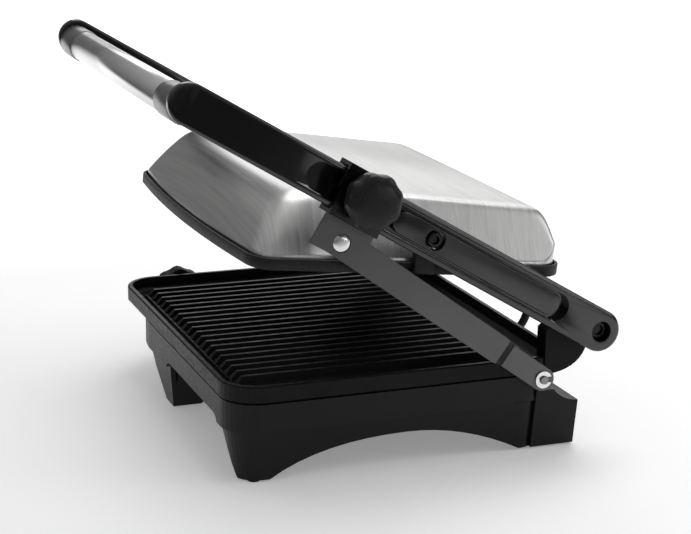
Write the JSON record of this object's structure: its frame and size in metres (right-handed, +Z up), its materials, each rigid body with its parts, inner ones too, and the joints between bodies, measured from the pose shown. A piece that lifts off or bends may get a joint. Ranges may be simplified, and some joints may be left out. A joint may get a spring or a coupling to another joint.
{
  "type": "panini press",
  "caption": "Open contact grill with ridged plates, a domed steel lid floating in a hinged U-shaped handle, and a clamped stay that holds it at a height.",
  "frame": {"origin": "centre of the bounding box on the worktop under the feet", "axes": "+Z up, +X towards the hinge at the back, +Y towards the user's left as the user faces the press"},
  "size_m": [0.2924, 0.327, 0.2523],
  "materials": {
    "housing": "satin",
    "cast_rim": "fine texture",
    "grill_plate": "non-stick coating",
    "gloss_black": "gloss",
    "brushed_steel": "brushed",
    "polished_steel": "polished",
    "plain_steel": "satin",
    "rubber": "matte",
    "ceramic": "matte"
  },
  "bodies": {
    "base": {"base_housing": "housing", "lower_grill_plate": "grill_plate", "bottom_cover": "housing", "foot_front_right": "rubber", "foot_front_left": "rubber", "foot_rear_right": "rubber", "foot_rear_left": "rubber", "base_screw_1": "plain_steel", "base_screw_2": "plain_steel", "base_screw_3": "plain_steel", "base_screw_4": "plain_steel", "lower_heating_element": "plain_steel", "lower_reflector": "brushed_steel", "thermostat": "ceramic", "thermal_fuse": "ceramic", "terminal_block": "ceramic", "mains_inlet_gland": "rubber", "base_lead_gland": "rubber", "hinge_bolt_right": "plain_steel", "hinge_bolt_left": "plain_steel", "hinge_spacer_right": "plain_steel", "hinge_spacer_left": "plain_steel", "stay_pin": "plain_steel", "stay_e_clip": "polished_steel", "stay_washer": "plain_steel", "lid_lead": "rubber"},
    "dial": {"temperature_dial": "gloss_black", "dial_spindle": "plain_steel"},
    "handle": {"arm_right": "gloss_black", "arm_left": "gloss_black", "arm_insert_right": "gloss_black", "arm_insert_left": "gloss_black", "hinge_bush_right": "plain_steel", "hinge_bush_left": "plain_steel", "pivot_bush_right": "plain_steel", "pivot_bush_left": "plain_steel", "grip_collar_right": "polished_steel", "grip_collar_left": "polished_steel", "grip_tube": "polished_steel", "grip_rod": "plain_steel"},
    "lid": {"lid_cover": "brushed_steel", "lid_frame": "cast_rim", "upper_grill_plate": "grill_plate", "upper_heating_element": "plain_steel", "upper_reflector": "brushed_steel", "lid_pivot_bolt_right": "plain_steel", "lid_pivot_bolt_left": "plain_steel", "lid_screw_1": "plain_steel", "lid_screw_2": "plain_steel", "lid_screw_3": "plain_steel", "lid_screw_4": "plain_steel"},
    "clamp": {"clamp_body": "gloss_black", "clamp_tab": "plain_steel", "stay_rivet": "polished_steel", "clamp_pad": "rubber"},
    "knob": {"clamp_knob": "gloss_black", "clamp_stud": "plain_steel"},
    "stay": {"stay_strip": "plain_steel"}
  },
  "joints": [
    {"name": "arm_hinge", "type": "hinge", "parent": "base", "child": "handle", "pos_m": [0.13148, 0.0115, 0.0829], "axis": [0, 1, 0], "range_deg": [-27.15, 12], "deforming": ["lid_lead"]},
    {"name": "lid_pivot", "type": "hinge", "parent": "handle", "child": "lid", "pos_m": [0.017, 0.0115, 0.1506], "axis": [0, 1, 0], "range_deg": [-9.5, 21.2]},
    {"name": "clamp_slide", "type": "slide", "parent": "handle", "child": "clamp", "axis": [-0.8607, 0, 0.509], "range_m": [-0.0091, 0.0202]},
    {"name": "knob_turn", "type": "hinge", "parent": "clamp", "child": "knob", "pos_m": [-0.03079, -0.1555, 0.18177], "axis": [0, 1, 0], "range_deg": [0, 270]},
    {"name": "stay_pivot", "type": "hinge", "parent": "base", "child": "stay", "pos_m": [0.09848, -0.1265, 0.0508], "axis": [0, 1, 0], "range_deg": [-30.2, 13.5]},
    {"name": "dial_turn", "type": "hinge", "parent": "base", "child": "dial", "pos_m": [-0.06152, 0.1535, 0.0487], "axis": [0, 1, 0], "range_deg": [0, 270]}
  ],
  "couplings": [
    {"joint": "lid_pivot", "follows": "arm_hinge", "ratio": -0.7735},
    {"joint": "clamp_slide", "follows": "arm_hinge", "m_per_rad": -0.0423},
    {"joint": "stay_pivot", "follows": "arm_hinge", "ratio": 1.1}
  ]
}
